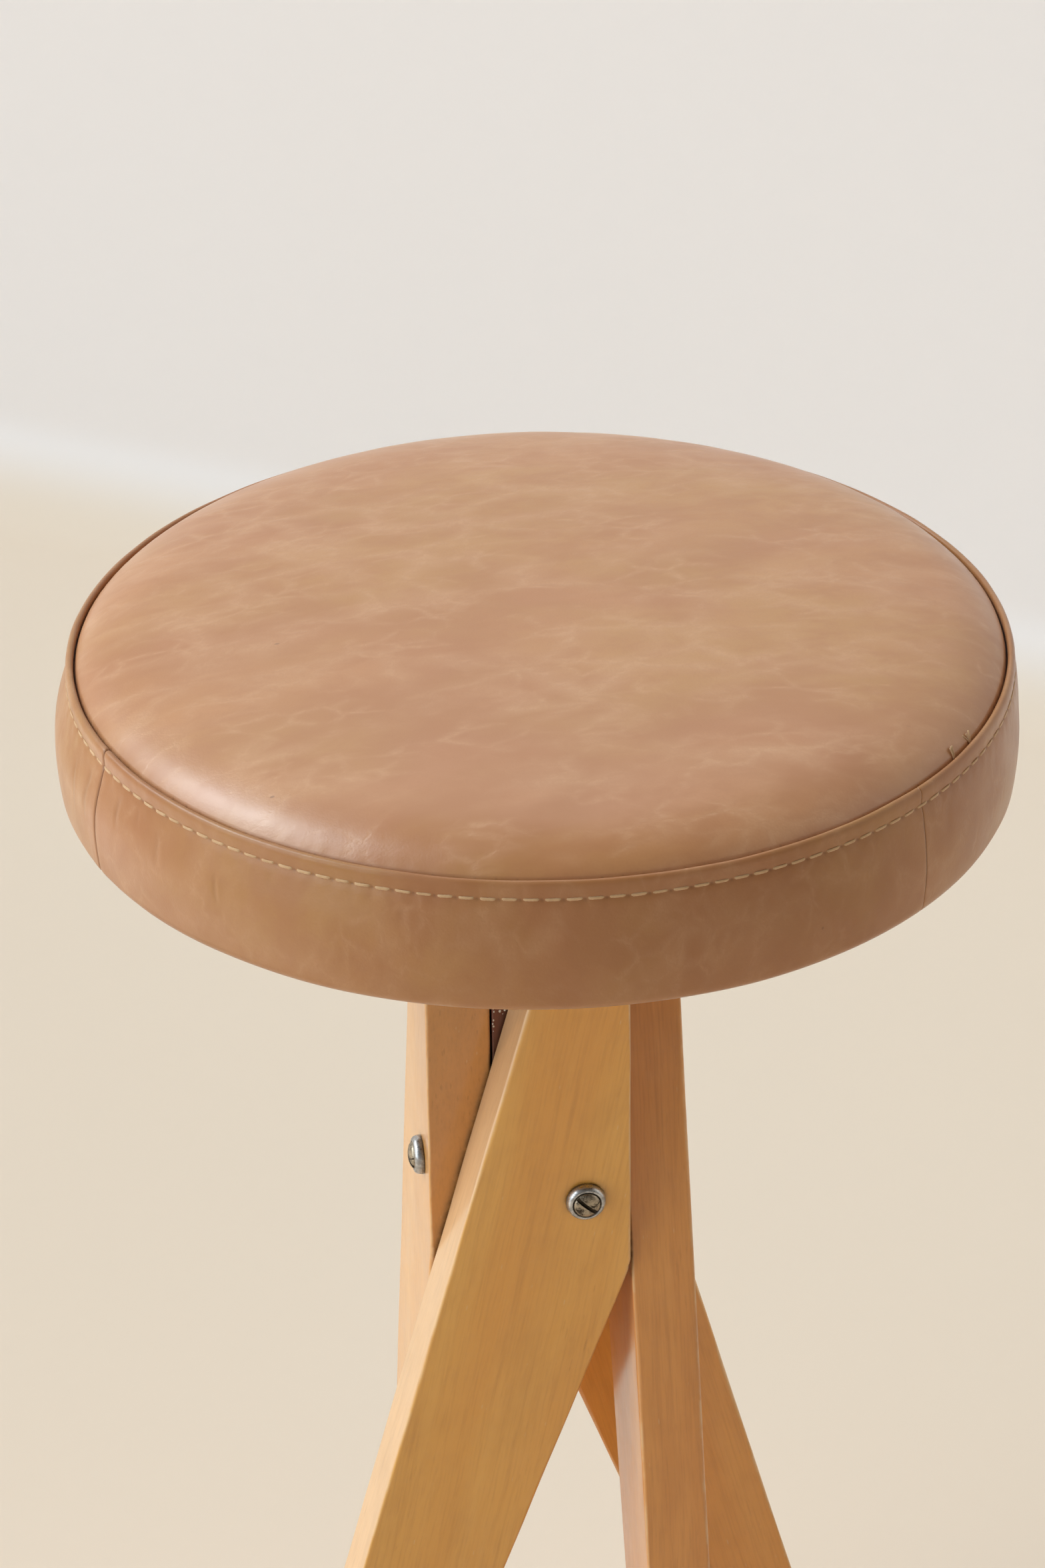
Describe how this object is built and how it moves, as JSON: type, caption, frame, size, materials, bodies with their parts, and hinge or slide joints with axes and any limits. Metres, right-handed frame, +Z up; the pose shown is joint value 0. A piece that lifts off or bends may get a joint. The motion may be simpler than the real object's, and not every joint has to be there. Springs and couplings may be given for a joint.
{
  "type": "stool",
  "caption": "Counter-height stool with a round padded leather seat on flat boards crossed in a pinwheel round a square core.",
  "frame": {"origin": "on the floor, under the middle of the square column", "axes": "+Z up; the front board's outer face looks towards -Y and its foot lies towards -X; each next board is turned 90 degrees about +Z"},
  "size_m": [0.3601, 0.3601, 0.66],
  "materials": {
    "blond_wood": "clear satin lacquer over blond boards with fine dark pores",
    "core_wood": "dark reddish wood, oiled",
    "plywood": "bare plywood",
    "leather": "tan aniline leather, satin, softly mottled",
    "thread": "waxed pale thread",
    "foam": "open-cell foam",
    "dust_cloth": "black non-woven cloth",
    "steel": "dulled plated steel",
    "screw_brass": "tarnished",
    "zinc": "zinc plated",
    "glide_nylon": "dull brown nylon"
  },
  "bodies": {
    "root": {"leg_front": "blond_wood", "leg_right": "blond_wood", "leg_back": "blond_wood", "leg_left": "blond_wood", "core_block": "core_wood", "lower_screw_front": "screw_brass", "lower_cup_washer_front": "steel", "lower_screw_right": "screw_brass", "lower_cup_washer_right": "steel", "lower_screw_back": "screw_brass", "lower_cup_washer_back": "steel", "lower_screw_left": "screw_brass", "lower_cup_washer_left": "steel", "upper_screw_front": "screw_brass", "upper_cup_washer_front": "steel", "upper_screw_right": "screw_brass", "upper_cup_washer_right": "steel", "upper_screw_back": "screw_brass", "upper_cup_washer_back": "steel", "upper_screw_left": "screw_brass", "upper_cup_washer_left": "steel", "mounting_plate": "plywood", "plate_screw_front": "zinc", "seat_screw_1": "zinc", "plate_screw_right": "zinc", "seat_screw_2": "zinc", "plate_screw_back": "zinc", "seat_screw_3": "zinc", "plate_screw_left": "zinc", "seat_screw_4": "zinc", "seat_base": "plywood", "seat_foam": "foam", "seat_dust_cover": "dust_cloth", "seat_top_panel": "leather", "seat_band_front": "leather", "seat_band_right": "leather", "seat_band_left": "leather", "topstitch_thread": "thread", "foot_glide_front": "glide_nylon", "foot_glide_right": "glide_nylon", "foot_glide_back": "glide_nylon", "foot_glide_left": "glide_nylon"}
  },
  "joints": []
}
